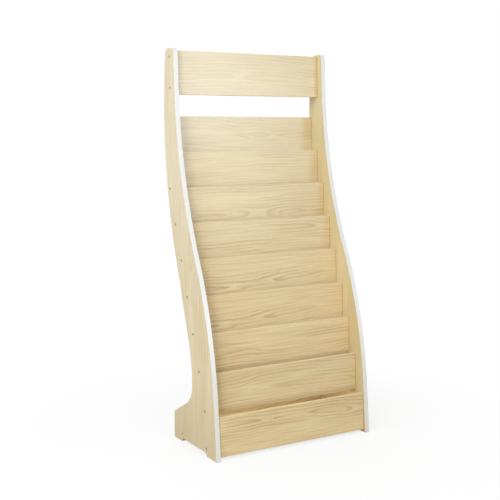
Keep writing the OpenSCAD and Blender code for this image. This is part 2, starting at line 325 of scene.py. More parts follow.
@dataclass(frozen=True)
class Laminate(Finish):
    """Printed ash laminate, with flames and lines of growth rings, fibres and short pores.

    It reads the grain attribute: metres along the grain, metres across it from the heart of the
    figure, and a number that picks one cut of the pattern. The noises' scales are in that order.
    """

    pale: Colour
    warm: Colour
    ring: Colour
    ring_gap: float = 10.0 * MM
    ring_share: float = 0.75
    streak_share: float = 0.22
    pore_share: float = 0.3
    fibre_share: float = 0.16
    roughness: float = 0.32
    # Painted contact shade where a board meets a side panel, whose place is on the X axis
    joint_shade: Colour = (0.40, 0.25, 0.09)
    joint_shade_place: float = 0.0
    joint_shade_width: float = 4.0 * MM
    joint_shade_core: float = 0.3 * MM
    joint_shade_share: float = 0.7
    # The figure is bold up to the first place across the grain and faded from the second
    fade: Pair | None = None
    faded: float = 0.25
    # Painted shade that darkens the colour towards the floor, up to its reach
    low_shade_reach: float = 0.0
    low_shade_core: float = 0.04
    low_shade_share: float = 0.3

    def sockets(self, bench: Bench) -> Sockets:
        """Growth rings cut at a slant, over slow changes of tone and under fine fibres.

        Args:
            bench: The material's tree.

        Returns:
            The Principled node's inputs.
        """
        where = bench.attribute(GRAIN)
        across = where.axis("Y")

        # The heart of the tree wanders past the face, so its rings close in flames
        off_heart = across + bench.noise(where, (1.4, 2.0, 1.0), 0.0) * 0.09
        off_heart = off_heart + bench.noise(where, (7.0, 22.0, 1.0)) * 0.010
        depth = bench.noise(where, (2.6, 0.0, 1.3), 1.0) * 0.13
        reach = bench.maths("SQRT", off_heart * off_heart + depth * depth)
        wander = bench.noise(where, (14.0, 90.0, 1.0)) * 0.7
        turn = bench.maths("FRACT", bench.maths("DIVIDE", reach, self.ring_gap) + wander)
        late_wood = bench.maths("POWER", turn, 2.0) * turn.ramp(1.0, 0.86)

        weight = bench.noise(where, (3.4, 34.0, 1.0), 3.0).spread(3.4, 0.55)
        if self.fade:
            bold, faint = self.fade
            weight = weight * (across.ramp(faint, bold) * (1.0 - self.faded) + self.faded)
        streak = bench.noise(where, (6.0, 210.0, 1.0), 3.0).spread(2.4, 0.5)
        fibre = bench.noise(where, (34.0, 900.0, 1.0))
        pore = bench.noise(where, (70.0, 2600.0, 1.0), 1.0).ramp(0.1, 0.2)
        shares = (
            late_wood * weight * self.ring_share,
            streak * self.streak_share,
            pore * self.pore_share,
            (fibre + 0.2).ramp(0.0, 0.6) * self.fibre_share,
        )
        tone = bench.noise(where, (1.8, 11.0, 1.0)).spread(1.8, 0.5)
        colour = bench.mixed(tone, self.pale, self.warm)
        for share in shares:
            colour = bench.mixed(share, colour, self.ring)

        # Painted contact shade: a darker strip at each end of a board, where it meets a side panel
        if self.joint_shade_place:
            aside = bench.maths("ABSOLUTE", bench.place().axis("X"))
            joint_shade = aside.ramp(self.joint_shade_place - self.joint_shade_width, self.joint_shade_place - self.joint_shade_core)
            colour = bench.mixed(joint_shade * self.joint_shade_share, colour, self.joint_shade)
        # Painted shade: the colour darkens towards the floor
        if self.low_shade_reach:
            low = bench.place().axis("Z").ramp(self.low_shade_reach, self.low_shade_core)
            colour = bench.mixed(low * self.low_shade_share, colour, self.ring)
        return {
            "Base Color": colour,
            "Roughness": self.roughness + fibre * 0.12 + pore * 0.1,
            "Normal": bench.bump(fibre - pore, 0.05 * MM, 0.35),
        }


@dataclass(frozen=True)
class EdgeTape(Finish):
    """Thin wood-toned edge tape, with straight streaks along the edge."""

    pale: Colour
    streak: Colour
    roughness: float = 0.38

    def sockets(self, bench: Bench) -> Sockets:
        """Streaks that run with the edge, and a scuffed sheen.

        Args:
            bench: The material's tree.

        Returns:
            The Principled node's inputs.
        """
        where = bench.attribute(GRAIN)
        streak = bench.noise(where, (9.0, 700.0, 1.0), 3.0)
        scuff = bench.noise(where, (60.0, 240.0, 2.0), 3.0)
        return {
            "Base Color": bench.mixed(streak.spread(1.8, 0.4), self.pale, self.streak),
            "Roughness": self.roughness + scuff * 0.3,
            "Normal": bench.bump(streak, 0.04 * MM, 0.3),
        }


@dataclass(frozen=True)
class ChipCore(Finish):
    """Bare chipboard, as a board's sawn ends and drilled holes show."""

    chip: Colour
    glue: Colour
    chips_per_metre: float = 420.0

    def sockets(self, bench: Bench) -> Sockets:
        """Pressed chips of differing tone, with open pits between them.

        Args:
            bench: The material's tree.

        Returns:
            The Principled node's inputs.
        """
        where = bench.stretched(bench.place(), (self.chips_per_metre,) * 3)
        cells = bench.node("ShaderNodeTexVoronoi", {"Vector": where, "Scale": 1.0})
        tone = bench.noise(cells["Color"], (3.0, 3.0, 3.0), 0.0) * 1.6 + 0.5
        pit = cells["Distance"].ramp(0.35, 0.75)
        colour = bench.mixed(tone.ramp(0.0, 1.0), self.chip, self.glue)
        return {
            "Base Color": bench.mixed(pit * 0.5, colour, self.glue),
            "Roughness": 0.86 + tone * 0.08,
            "Normal": bench.bump(1.0 - pit, 0.3 * MM, 0.6),
        }


@dataclass(frozen=True)
class Plastic(Finish):
    """Matt white edging plastic, with faint handling marks and an extruded surface."""

    base: Colour
    mark: Colour
    scuff_reach: float = 0.16
    roughness: float = 0.42

    def sockets(self, bench: Bench) -> Sockets:
        """Fine lines drawn along the strip, slow yellowing and scuffs near the floor.

        Args:
            bench: The material's tree.

        Returns:
            The Principled node's inputs.
        """
        where = bench.place()
        yellow = bench.noise(where, (9.0, 5.0, 5.0)).spread(1.4, 0.3)
        drawn = bench.noise(where, (2200.0, 60.0, 12.0), 1.0)
        low = where.axis("Z").ramp(self.scuff_reach, 0.0)
        scuff = bench.noise(where, (420.0, 160.0, 70.0), 3.0).ramp(0.06, 0.16) * (low * 0.7 + 0.12)
        return {
            "Base Color": bench.mixed(yellow * 0.35 + scuff * 0.5, self.base, self.mark),
            "Roughness": self.roughness + scuff * 0.25 + drawn * 0.08,
            "Normal": bench.bump(drawn - scuff, 0.03 * MM, 0.4),
        }


@dataclass(frozen=True)
class ZincSteel(Finish):
    """Zinc-plated steel with a satin, slightly mottled coat."""

    bright: Colour
    dull: Colour

    def sockets(self, bench: Bench) -> Sockets:
        """Mottled plating with fine turning marks.

        Args:
            bench: The material's tree.

        Returns:
            The Principled node's inputs.
        """
        where = bench.place()
        mottle = bench.noise(where, (900.0, 900.0, 900.0), 3.0)
        turned = bench.noise(where, (3000.0, 500.0, 500.0), 1.0)
        return {
            "Base Color": bench.mixed(mottle.spread(1.6, 0.4), self.bright, self.dull),
            "Metallic": 0.92 + mottle * 0.1,
            "Roughness": 0.34 + mottle * 0.3,
            "Normal": bench.bump(turned, 0.02 * MM, 0.3),
        }


@dataclass(frozen=True)
class Beech(Finish):
    """Plain beech, with its short dark flecks."""

    pale: Colour
    fleck: Colour

    def sockets(self, bench: Bench) -> Sockets:
        """Fibres and flecks along the dowel, which most often lies across the rack.

        Args:
            bench: The material's tree.

        Returns:
            The Principled node's inputs.
        """
        where = bench.place()
        fibre = bench.noise(where, (60.0, 1800.0, 1800.0), 3.0)
        fleck = bench.noise(where, (500.0, 2600.0, 2600.0), 0.0).ramp(0.1, 0.2)
        colour = bench.mixed((fibre + 0.3).ramp(0.0, 0.9) * 0.6, self.pale, self.fleck)
        return {
            "Base Color": bench.mixed(fleck * 0.6, colour, self.fleck),
            "Roughness": 0.68 + fibre * 0.2,
            "Normal": bench.bump(fibre, 0.08 * MM, 0.5),
        }


BOARD_FACE = Laminate(
    "board_laminate",
    pale=(0.80, 0.68, 0.45),
    warm=(0.73, 0.59, 0.36),
    ring=(0.46, 0.31, 0.14),
    # Painted contact shade at the board ends, by the side panels
    joint_shade_place=0.275,
)
PANEL_FACE = Laminate(
    "panel_laminate",
    pale=(0.84, 0.735, 0.555),
    warm=(0.775, 0.65, 0.46),
    ring=(0.50, 0.36, 0.18),
    ring_share=0.55,
    # Painted shade towards the floor
    low_shade_reach=0.28,
)
# The right panel's copy of the panel laminate: warmer and darker as painted bounce light and shade on its
# inner face, with the painted shade towards the floor reaching higher
SHADED_PANEL_FACE = replace(
    PANEL_FACE,
    name="panel_laminate_warm",
    pale=(0.74, 0.63, 0.385),
    warm=(0.69, 0.56, 0.32),
    low_shade_reach=0.62,
)
BOLD_FACE = replace(
    BOARD_FACE,
    name="board_laminate_bold",
    pale=(0.86, 0.73, 0.49),
    warm=(0.79, 0.64, 0.39),
    ring_share=0.95,
    pore_share=0.4,
    streak_share=0.3,
    fade=(0.006, 0.030),
)
FRONT_FACE = replace(BOLD_FACE, name="board_laminate_front", fade=(-0.016, -0.040))
RAIL_FACE = replace(BOLD_FACE, name="board_laminate_rail", joint_shade_place=0.0, fade=None)
CALM_FACE = replace(
    BOARD_FACE,
    name="board_laminate_calm",
    pale=(0.762, 0.643, 0.43),
    warm=(0.683, 0.554, 0.345),
    ring_share=0.5,
    streak_share=0.18,
)
# The tape is paler than the laminate: partly its own tone, partly a painted highlight on the lips' lit top
# edges
TAPE = EdgeTape("edge_tape", (0.84, 0.73, 0.51), (0.68, 0.53, 0.30))
# Ledge tapes a tone darker as painted shade at the foot of each lip, darkest on the low tiers
SHADED_LEDGE_TAPE = EdgeTape("ledge_edge_tape", (0.77, 0.63, 0.40), (0.65, 0.50, 0.29))
LOW_SHADED_LEDGE_TAPE = EdgeTape("low_ledge_edge_tape", (0.62, 0.50, 0.30), (0.49, 0.36, 0.19))
CORE = ChipCore("chip_core", (0.62, 0.46, 0.28), (0.34, 0.22, 0.12))
EDGING = Plastic("edging_plastic", (0.76, 0.775, 0.805), (0.68, 0.67, 0.65))
ZINC = ZincSteel("zinc_steel", (0.70, 0.61, 0.46), (0.50, 0.43, 0.32))
DOWEL_WOOD = Beech("beech", (0.66, 0.46, 0.26), (0.40, 0.24, 0.11))


# Meshes


def merged_copy(node: str) -> BMesh:
    """A node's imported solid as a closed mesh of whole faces.

    Args:
        node: Name of the CAD node.

    Returns:
        The mesh, in the row frame.
    """
    mesh = bmesh.new()
    mesh.from_mesh(frame["nodes"][node].data)
    bmesh.ops.remove_doubles(mesh, verts=mesh.verts, dist=TOUCH)
    bmesh.ops.dissolve_limit(mesh, angle_limit=SAME_PLANE, verts=mesh.verts, edges=mesh.edges)
    mesh.normal_update()
    return mesh


def stacked(name: str, rings: Sequence[Sequence[Point]]) -> Mesh:
    """A closed mesh through rings, capped at both ends.

    Args:
        name: The mesh's name.
        rings: Rings of equally many points.

    Returns:
        The mesh.
    """
    sides = len(rings[0])
    last = (len(rings) - 1) * sides
    faces = [tuple(reversed(range(sides)))]
    for start in range(0, last, sides):
        for side in range(start, start + sides):
            following = start + (side + 1) % sides
            faces.append((side, following, following + sides, side + sides))
    faces.append(tuple(range(last, last + sides)))
    data = bpy.data.meshes.new(name)
    data.from_pydata([point for ring in rings for point in ring], [], faces)
    return data


def polar(reach: float, share: float, z: float) -> Point:
    """A point off the Z axis, by its share of a turn."""
    turn = 2 * math.pi * share
    return reach * math.cos(turn), reach * math.sin(turn), z


def neighbours(loop: Sequence[Any]) -> Iterable[tuple[Any, Any]]:
    """Each item of a closed loop with the one after it."""
    return zip(loop, [*loop[1:], loop[0]])


def at_end(places: Iterable[float], ends: Iterable[float], reach: float) -> bool:
    """True if all places lie within a reach of one and the same end."""
    return any(all(abs(place - end) < reach for place in places) for end in ends)


def finder(points: Sequence[Sequence[float]]) -> KDTree:
    """Gathers points to search.

    Args:
        points: The points.

    Returns:
        A tree that finds the nearest of them.
    """
    tree = KDTree(len(points))
    for index, point in enumerate(points):
        tree.insert(point, index)
    tree.balance()
    return tree


def placed(name: str, data: bpy.types.ID) -> Object:
    """Puts a new object at the scene's origin.

    Args:
        name: Its name.
        data: Its mesh, light or camera.

    Returns:
        The object.
    """
    made = bpy.data.objects.new(name, data)
    bpy.context.scene.collection.objects.link(made)
    return made


def add_piece(
    data: Mesh, name: str, node: str, finishes: Iterable[Finish] = (), smooth: float = FLAT
) -> None:
    """Adds a piece that rides on the rack and stands for a CAD node.

    Args:
        data: Its mesh, in the row frame.
        name: Its name.
        node: The node.
        finishes: What its own material slots wear, in order.
        smooth: The turn at an edge from which it shows as sharp.
    """
    data.name = name
    for finish in finishes:
        data.materials.append(finish.material())
    data.shade_smooth()
    data.set_sharp_from_angle(angle=smooth)
    piece = placed(name, data)
    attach(piece, BODY)
    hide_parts(node)
    log.info("%s: %d faces for %s", name, len(data.polygons), node)


# Boards and side panels


@dataclass
class Panel(ABC):
    """A piece of laminated chipboard from one CAD node.

    Its long edges are taped, and its sawn ends and its holes show the bare core. The cut says
    which run of the print it was sawn from, and the heart how far off the figure's middle.
    """

    node: str
    cut: float
    heart: float
    face: Laminate
    tape: EdgeTape = TAPE
    slot: str = "board_wood"
    arris: float = 0.6 * MM

    @abstractmethod
    def prepare(self, mesh: BMesh) -> list[BMEdge]:
        """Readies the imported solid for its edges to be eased, and keeps what grain() goes by.

        Args:
            mesh: Its merged copy.

        Returns:
            The edges that are eased.
        """

    @abstractmethod
    def grain(self, face: BMFace) -> tuple[Slot, list[Point]]:
        """What a face wears.

        Args:
            face: A face of the eased panel.

        Returns:
            Its material slot, and the place of each of its corners in the grain.
        """

    def build(self) -> None:
        """Makes the panel and hands it over, its edges eased as a tape trimmer does."""
        mesh = merged_copy(self.node)
        edges = self.prepare(mesh)
        bmesh.ops.bevel(mesh, geom=edges, offset=self.arris, segments=2, profile=0.5, affect="EDGES")
        mesh.normal_update()
        layer = mesh.loops.layers.float_vector.new(GRAIN)
        for face in mesh.faces:
            face.material_index, grain = self.grain(face)
            for corner, place in zip(face.loops, grain):
                corner[layer] = place
        data = bpy.data.meshes.new(self.node)
        mesh.to_mesh(data)
        mesh.free()
        finishes = (self.face, self.tape, CORE)
        add_piece(data, f"{self.node}_laminated", self.node, finishes)


@dataclass
class Board(Panel):
    """A straight board across the rack, which leans back by its lean.

    The slide shifts its print along it.
    """

    lean: float = math.radians(2.0)
    slide: float = 0.0
    cut_run: float = 0.7
    margin: float = 1.2 * MM
    least_run: float = 0.2
    least_strip: float = 5e-6
    # Lowest and highest place along the thickness and along the breadth, and each one's axis
    thin: tuple[float, float, Vector] = field(init=False)
    broad: tuple[float, float, Vector] = field(init=False)

    def prepare(self, mesh: BMesh) -> list[BMEdge]:
        """Clears the margins of the long faces, and finds the arrises from end to end.

        Args:
            mesh: The board's mesh.

        Returns:
            The four arrises.
        """
        level, climb = math.cos(self.lean), math.sin(self.lean)
        spans = []
        for axis in (Vector((0.0, level, -climb)), Vector((0.0, climb, level))):
            places = [corner.co.dot(axis) for corner in mesh.verts]
            spans.append((min(places), max(places), axis))
        for low, high, axis in spans:
            self.clear_margin(mesh, axis * low, axis)
            self.clear_margin(mesh, axis * high, -axis)
        self.thin, self.broad = sorted(spans, key=lambda span: span[1] - span[0])
        sharp = [edge for edge in mesh.edges if edge.calc_face_angle(0.0) > SHARP]
        return [e for e in sharp if abs(e.verts[0].co.x - e.verts[1].co.x) > self.least_run]

    def clear_margin(self, mesh: BMesh, point: Vector, inward: Vector) -> None:
        """Leaves only plain strips between an outer plane and a line just inside it.

        Args:
            mesh: The board's mesh.
            point: A point of the outer plane.
            inward: The plane's normal, into the board.
        """
        line = point + inward * self.margin
        whole = [*mesh.verts, *mesh.edges, *mesh.faces]
        bmesh.ops.bisect_plane(mesh, geom=whole, dist=0.1 * TOUCH, plane_co=line, plane_no=inward)
        mesh.normal_update()
        stray = []
        for edge in mesh.edges:
            depths = [(corner.co - line).dot(inward) for corner in edge.verts]
            outside = max(depths) < TOUCH and min(depths) < -TOUCH
            if outside and len(edge.link_faces) == 2 and edge.calc_face_angle() < CUT_PLANE:
                stray.append(edge)
        bmesh.ops.dissolve_edges(mesh, edges=stray)
        mesh.normal_update()

    def grain(self, face: BMFace) -> tuple[Slot, list[Point]]:
        """Laminate on the two broad faces, and tape on the long edges and their roundings.

        Args:
            face: A face of the eased board.

        Returns:
            Its material slot, and the place of each of its corners in the grain.
        """
        front, back, thin = self.thin
        foot, top, broad = self.broad
        along = [corner.co.x + self.cut_run * self.cut + self.slide for corner in face.verts]
        deep = [corner.co.dot(thin) for corner in face.verts]
        tall = [corner.co.dot(broad) for corner in face.verts]
        if at_end(deep, (front, back), TOUCH):
            cut = self.cut + OTHER_FACE * (deep[0] > (front + back) / 2)
            across = [place - (foot + top) / 2 + self.heart for place in tall]
            return Slot.LAMINATE, [(x, y, cut) for x, y in zip(along, across)]
        strip = abs(face.normal.x) < 0.5 and face.calc_area() > self.least_strip
        if strip and at_end(tall, (foot, top), self.arris * 1.05):
            return Slot.TAPE, [(x, y, self.cut) for x, y in zip(along, deep)]
        return Slot.CORE, []


@dataclass
class CrossBoards:
    """Every straight board of the rack.

    The hearts are the lips', from the lowest tier up. Lips of the bold tiers have the bold print,
    ledges wear a tape darkened as painted shade, darkest on the low tiers, and the repeating lip
    shows the run of the print of the lip above it, shifted along.
    """

    hearts: tuple[float, ...] = (0.018, -0.012, 0.019, 0.019, -0.012, 0.028, -0.022)
    bold: tuple[int, ...] = (2, 3, 4)
    # Tiers whose ledges wear the darkest painted shade
    low: tuple[int, ...] = (1, 2)
    repeating: int = 3
    repeat_shift: float = 0.06
    lip_cut: float = 8.3
    lip_cut_step: float = 2.7
    ledge_cut: float = 31.9
    ledge_cut_step: float = 1.9

    def tier(self, number: int) -> tuple[Board, Board]:
        """One pocket's boards.

        Args:
            number: The tier, from 1 for the lowest.

        Returns:
            Its lip and its ledge.
        """
        heart = self.hearts[number - 1]
        face = BOLD_FACE if number in self.bold else BOARD_FACE
        # Painted shade: the ledge's tape is darker, darkest on the low tiers
        tape = LOW_SHADED_LEDGE_TAPE if number in self.low else SHADED_LEDGE_TAPE
        repeats = number == self.repeating
        cut = self.lip_cut + self.lip_cut_step * (number + 1 if repeats else number)
        slide = self.repeat_shift if repeats else 0.0
        lip = Board(f"pocket_lip_{number}", cut, heart, face, slide=slide)
        cut = self.ledge_cut + self.ledge_cut_step * number
        return lip, Board(f"pocket_ledge_{number}", cut, -heart, BOARD_FACE, tape)

    def build(self) -> None:
        """Makes and hands over the boards from the head of the rack down to its base."""
        boards = [
            Board("header_board", 3.1, 0.012, CALM_FACE),
            Board("back_board", 5.4, -0.030, CALM_FACE),
        ]
        for number in range(len(self.hearts), 0, -1):
            boards.extend(self.tier(number))
        boards.append(Board("front_board", 49.3, -0.020, FRONT_FACE))
        boards.append(Board("base_shelf", 51.7, 0.03, BOARD_FACE, lean=0.0))
        boards.append(Board("rear_rail", 53.2, -0.04, RAIL_FACE, lean=0.0))
        for board in boards:
            board.build()


@dataclass(frozen=True)
class FrontEdge:
    """The rule of a side panel's front edge: a straight, an arc, a counter-arc and a straight.

    All joints are tangent. The edging starts at the lift, and its wrap ends behind the corner.
    """

    height: float = 1.262
    foot_lean: float = math.radians(5.5)
    sweep_lean: float = math.radians(25.2)
    head_lean: float = math.radians(2.5)
    bend_start: float = 0.173
    bend_mid: float = 0.606
    bend_end: float = 1.158
    corner: float = 0.014
    wrap: float = 0.003
    lift: float = 0.0005

    def at(self, z: float) -> Pair:
        """Where the edge is at a height.

        Args:
            z: The height.

        Returns:
            How far it lies behind its foot, and its lean.
        """
        stops = (
            (0.0, self.foot_lean),
            (self.bend_start, self.foot_lean),
            (self.bend_mid, self.sweep_lean),
            (self.bend_end, self.head_lean),
            (self.height, self.head_lean),
        )
        y = 0.0
        for (low, start), (high, end) in zip(stops, stops[1:]):
            climb = min(z, high) - low
            # The lean's sine grows evenly with the height, and a chord has its ends' mean lean
            turn = (math.sin(end) - math.sin(start)) * climb / (high - low)
            lean = math.asin(math.sin(start) + turn)
            y += climb * math.tan((start + lean) / 2)
            if z <= high:
                break
        return y, lean

    def line(self, inset: float, foot: float, steps: int, turns: int) -> list[Pair]:
        """The edge, set in from the outline.

        Args:
            inset: How far the line lies inside the outline.
            foot: Height of its lower end.
            steps: Number of steps over the two arcs.
            turns: Number of steps round the corner of the head.

        Returns:
            The Y and Z of its points in the row frame, from the foot up and round the head.
        """
        climb = (self.bend_end - self.bend_start) / steps
        points = []
        for z in (foot, *(self.bend_start + climb * step for step in range(steps + 1))):
            y, lean = self.at(z)
            points.append((y + inset / math.cos(lean), z))
        corner_z = self.height - self.corner
        below, _ = self.at(corner_z + self.corner * math.sin(self.head_lean))
        corner_y = below + self.corner * math.cos(self.head_lean)
        reach = self.corner - inset
        for turn in range(turns + 1):
            angle = math.pi - self.head_lean + (self.head_lean - math.pi / 2) * turn / turns
            points.append((corner_y + reach * math.cos(angle), corner_z + reach * math.sin(angle)))
        points.append((corner_y + self.wrap, self.height - inset))
        low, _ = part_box("left_front_band")
        shift = self.at(self.lift)[0] - low.y
        return [(y - shift, z) for y, z in points]


@dataclass
class SidePanel(Panel):
    """One S-curved side panel, with upright grain, taped round its rear and foot."""

    slot: str = "panel_wood"
    edge: FrontEdge = FrontEdge()
    margin: float = 1.6 * MM
    band: float = 0.001
    band_nearness: float = 0.2 * MM
    band_steps: int = 60
    band_turns: int = 12
    step: float = 0.002
    # Places of the two faces on the X axis, and points round the outline with how far each lies
    planes: list[float] = field(init=False)
    samples: KDTree = field(init=False)
    rounds: list[float] = field(init=False)

    def prepare(self, mesh: BMesh) -> list[BMEdge]:
        """Refaces the panel, and finds the edges of its outline that stay bare.

        Args:
            mesh: The panel's mesh.

        Returns:
            The outline's edges but for those that the edging covers.
        """
        self.planes = [corner.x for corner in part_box(self.node)]
        outlines = [self.refaced(mesh, plane) for plane in self.planes]
        bmesh.ops.recalc_face_normals(mesh, faces=mesh.faces)
        mesh.normal_update()
        self.measure(outlines[0])
        line = self.edge.line(self.band, 0.0, self.band_steps, self.band_turns)
        tree = finder([(0.0, y, z) for y, z in line])
        corners = {corner: tree.find((0.0, *corner.co.yz))[2] for corner in sum(outlines, [])}
        covered = {corner for corner, away in corners.items() if away < self.band_nearness}
        pairs = [pair for outline in outlines for pair in neighbours(outline)]
        return [mesh.edges.get(pair) for pair in pairs if not covered.issuperset(pair)]

    def refaced(self, mesh: BMesh, plane: float) -> list[BMVert]:
        """Fills the face at a plane again, with a plain strip inside its outline.

        Args:
            mesh: The panel's mesh.
            plane: The face's place on the X axis.

        Returns:
            The outline's vertices in order.
        """
        places = {face: [corner.co.x for corner in face.verts] for face in mesh.faces}
        flat = [face for face, across in places.items() if at_end(across, (plane,), TOUCH)]
        bmesh.ops.delete(mesh, geom=flat, context="FACES")
        rims = [edge for edge in mesh.edges if edge.is_boundary]
        outline = max(self.loops(rims), key=len)
        around = {frozenset(pair) for pair in neighbours(outline)}
        rims = [edge for edge in rims if frozenset(edge.verts) not in around]
        inner = self.set_in(mesh, outline)
        for (outer, inset), (next_outer, next_inset) in neighbours(list(zip(outline, inner))):
            mesh.faces.new((outer, next_outer, next_inset, inset))
            rims.append(mesh.edges.get((inset, next_inset)))
        normal = (1.0, 0.0, 0.0)
        bmesh.ops.triangle_fill(mesh, use_beauty=True, use_dissolve=False, edges=rims, normal=normal)
        return outline

    def loops(self, edges: Iterable[BMEdge]) -> list[list[BMVert]]:
        """Sorts rim edges into closed loops.

        Args:
            edges: The edges.

        Returns:
            Each loop's vertices in order.
        """
        waiting = {}
        for edge in edges:
            for corner in edge.verts:
                waiting.setdefault(corner, []).append(edge)
        found = []
        while waiting:
            corner = next(iter(waiting))
            loop = []
            while corner in waiting:
                loop.append(corner)
                ends = [edge.other_vert(corner) for edge in waiting.pop(corner)]
                corner = next((end for end in ends if end in waiting), corner)
            found.append(loop)
        return found

    def set_in(self, mesh: BMesh, outline: Sequence[BMVert]) -> list[BMVert]:
        """Adds vertices a margin inside an outline.

        Args:
            mesh: The panel's mesh.
            outline: The outline's vertices in order.

        Returns:
            The new vertices, in the same order.
        """
        places = [corner.co.copy() for corner in outline]
        area = sum(a.y * b.z - b.y * a.z for a, b in neighbours(places))
        ways = [(b - a).normalized() for a, b in neighbours(places)]
        turns = [Vector((0.0, -way.z, way.y)) for way in ways]
        made = []
        for index, place in enumerate(places):
            inward = (turns[index - 1] + turns[index]).normalized() * math.copysign(1.0, area)
            stretch = max(0.5, abs(inward.dot(turns[index - 1])))
            made.append(mesh.verts.new(place + inward * self.margin / stretch))
        return made

    def measure(self, outline: Iterable[BMVert]) -> None:
        """Sets close points round the outline, and keeps how far round it each lies.

        Args:
            outline: The outline's vertices in order.
        """
        points, self.rounds, gone = [], [], 0.0
        places = [Vector((0.0, *corner.co.yz)) for corner in outline]
        for first, second in neighbours(places):
            length = (second - first).length
            count = max(1, math.ceil(length / self.step))
            for part in range(count):
                points.append(first.lerp(second, part / count))
                self.rounds.append(gone + length * part / count)
            gone += length
        self.samples = finder(points)

    def grain(self, face: BMFace) -> tuple[Slot, list[Point]]:
        """Laminate on the two broad faces, and tape near the outline, with its grain round it.

        Args:
            face: A face of the eased panel.

        Returns:
            Its material slot, and the place of each of its corners in the grain.
        """
        corners = [corner.co for corner in face.verts]
        if at_end([co.x for co in corners], self.planes, TOUCH):
            cut = self.cut + OTHER_FACE * (corners[0].x > 0.0)
            return Slot.LAMINATE, [(co.z + self.cut, co.y + self.heart, cut) for co in corners]
        _, index, away = self.samples.find((0.0, *face.calc_center_median().yz))
        if away < self.step:
            return Slot.TAPE, [(self.rounds[index], co.x, self.cut) for co in corners]
        return Slot.CORE, []


@dataclass
class FrontEdging:
    """The white edging: a thin strip swept along the rule of the front edge."""

    edge: FrontEdge = FrontEdge()
    width: float = 0.015
    thickness: float = 0.001
    arris: float = 0.35 * MM
    steps: int = 96
    turns: int = 14

    def grower(self) -> Grower:
        """Makes the tree that sweeps a rounded strip along a path.

        Returns:
            The tree.
        """
        made = Grower("swept_edging", width="Float", thickness="Float", arris="Float")
        path = made.node("GeometryNodeMeshToCurve", {0: made.start})
        size = {"Width": made.start["width"], "Height": made.start["thickness"]}
        strip = made.node("GeometryNodeCurvePrimitiveQuadrilateral", size, mode="RECTANGLE")
        rounding = {"Curve": strip, "Count": 2, "Radius": made.start["arris"]}
        rounded = made.node("GeometryNodeFilletCurve", rounding, mode="POLY")
        sweep = {"Curve": path, "Profile Curve": rounded, "Fill Caps": True}
        made.finish(made.node("GeometryNodeCurveToMesh", sweep))
        return made

    def build(self) -> None:
        """Sweeps and hands over the edging of both side panels."""
        grower = self.grower()
        path = self.edge.line(self.thickness / 2, self.edge.lift, self.steps, self.turns)
        sizes = {"width": self.width, "thickness": self.thickness, "arris": self.arris}
        for side in ("left", "right"):
            node = f"{side}_front_band"
            near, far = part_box(node)
            line = bpy.data.meshes.new(node)
            places = [((near.x + far.x) / 2, y, z) for y, z in path]
            line.from_pydata(places, [(index, index + 1) for index in range(len(path) - 1)], [])
            strip = grower.grow(line, finish=EDGING.material(), **sizes)
            add_piece(strip, f"{side}_front_edging", node)


# Fasteners


@dataclass(frozen=True)
class Screw:
    """A countersunk wood screw along +Z from its head, threaded behind a plain neck.

    The shank, root, crest and tip are shares of its radius, and the drill is one of its socket's.
    """

    diameter: float
    length: float
    head: float
    socket: float
    socket_depth: float
    pitch: float
    neck: float
    sides: int = 24
    samples: int = 6
    flat: float = 0.25 * MM
    rim: float = 0.12 * MM
    drill_depth: float = 0.4 * MM
    socket_flare: float = 0.2 * MM
    shank: float = 0.96
    root: float = 0.74
    crest: float = 0.25
    crest_slope: float = 2.6
    tip: float = 0.12
    drill: float = 0.55
    run_out: float = 0.3

    def mesh(self) -> Mesh:
        """Makes the screw, from the bottom of its socket, over the head and down the thread.

        Returns:
            A closed mesh.
        """
        radius, rim, socket = (width / 2 for width in (self.diameter, self.head, self.socket))
        rings = [
            self.hexagon(socket * self.drill, self.socket_depth + self.drill_depth),
            self.hexagon(socket, self.socket_depth),
            self.hexagon(socket, self.flat),
            self.hexagon(socket + self.socket_flare, 0.0),
            self.circle(rim - self.flat, 0.0),
            self.circle(rim, self.rim),
            self.circle(rim, self.flat),
            self.circle(radius * self.shank, self.flat + rim - radius),
            self.circle(radius * self.shank, self.neck),
        ]
        bottom = self.length - self.diameter
        count = int((bottom - self.neck) / self.pitch * self.samples)
        for step in range(1, count + 1):
            rings.append(self.thread(self.neck + step * self.pitch / self.samples, bottom))
        rings.append(self.circle(radius * self.tip, self.length))
        return stacked("screw", rings)

    def circle(self, radius: float, z: float) -> list[Point]:
        """A ring of points."""
        return [polar(radius, side / self.sides, z) for side in range(self.sides)]

    def hexagon(self, radius: float, z: float) -> list[Point]:
        """A hexagonal ring with as many points as a round one.

        Args:
            radius: Its reach at the corners.
            z: Its height.

        Returns:
            The points.
        """
        made = []
        per_side = self.sides // 6
        for side in range(self.sides):
            corner, part = divmod(side, per_side)
            first, second = (Vector(polar(1.0, (corner + end) / 6, 0.0)) for end in (0, 1))
            flat = first.lerp(second, part / per_side) * radius
            made.append((flat.x, flat.y, z))
        return made

    def thread(self, z: float, bottom: float) -> list[Point]:
        """A ring of the thread, whose crest climbs as it goes round.

        Args:
            z: Its height.
            bottom: Where the thread ends.

        Returns:
            The points.
        """
        made = []
        left = max(0.0, bottom - z) / self.pitch
        fade = min(1.0, (z - self.neck) / self.pitch, left + self.run_out)
        for side in range(self.sides):
            share = side / self.sides
            wave = abs(2 * ((z / self.pitch - share) % 1.0) - 1.0)
            crest = max(0.0, 1.0 - self.crest_slope * wave) * fade
            made.append(polar(self.diameter / 2 * (self.root + self.crest * crest), share, z))
        return made


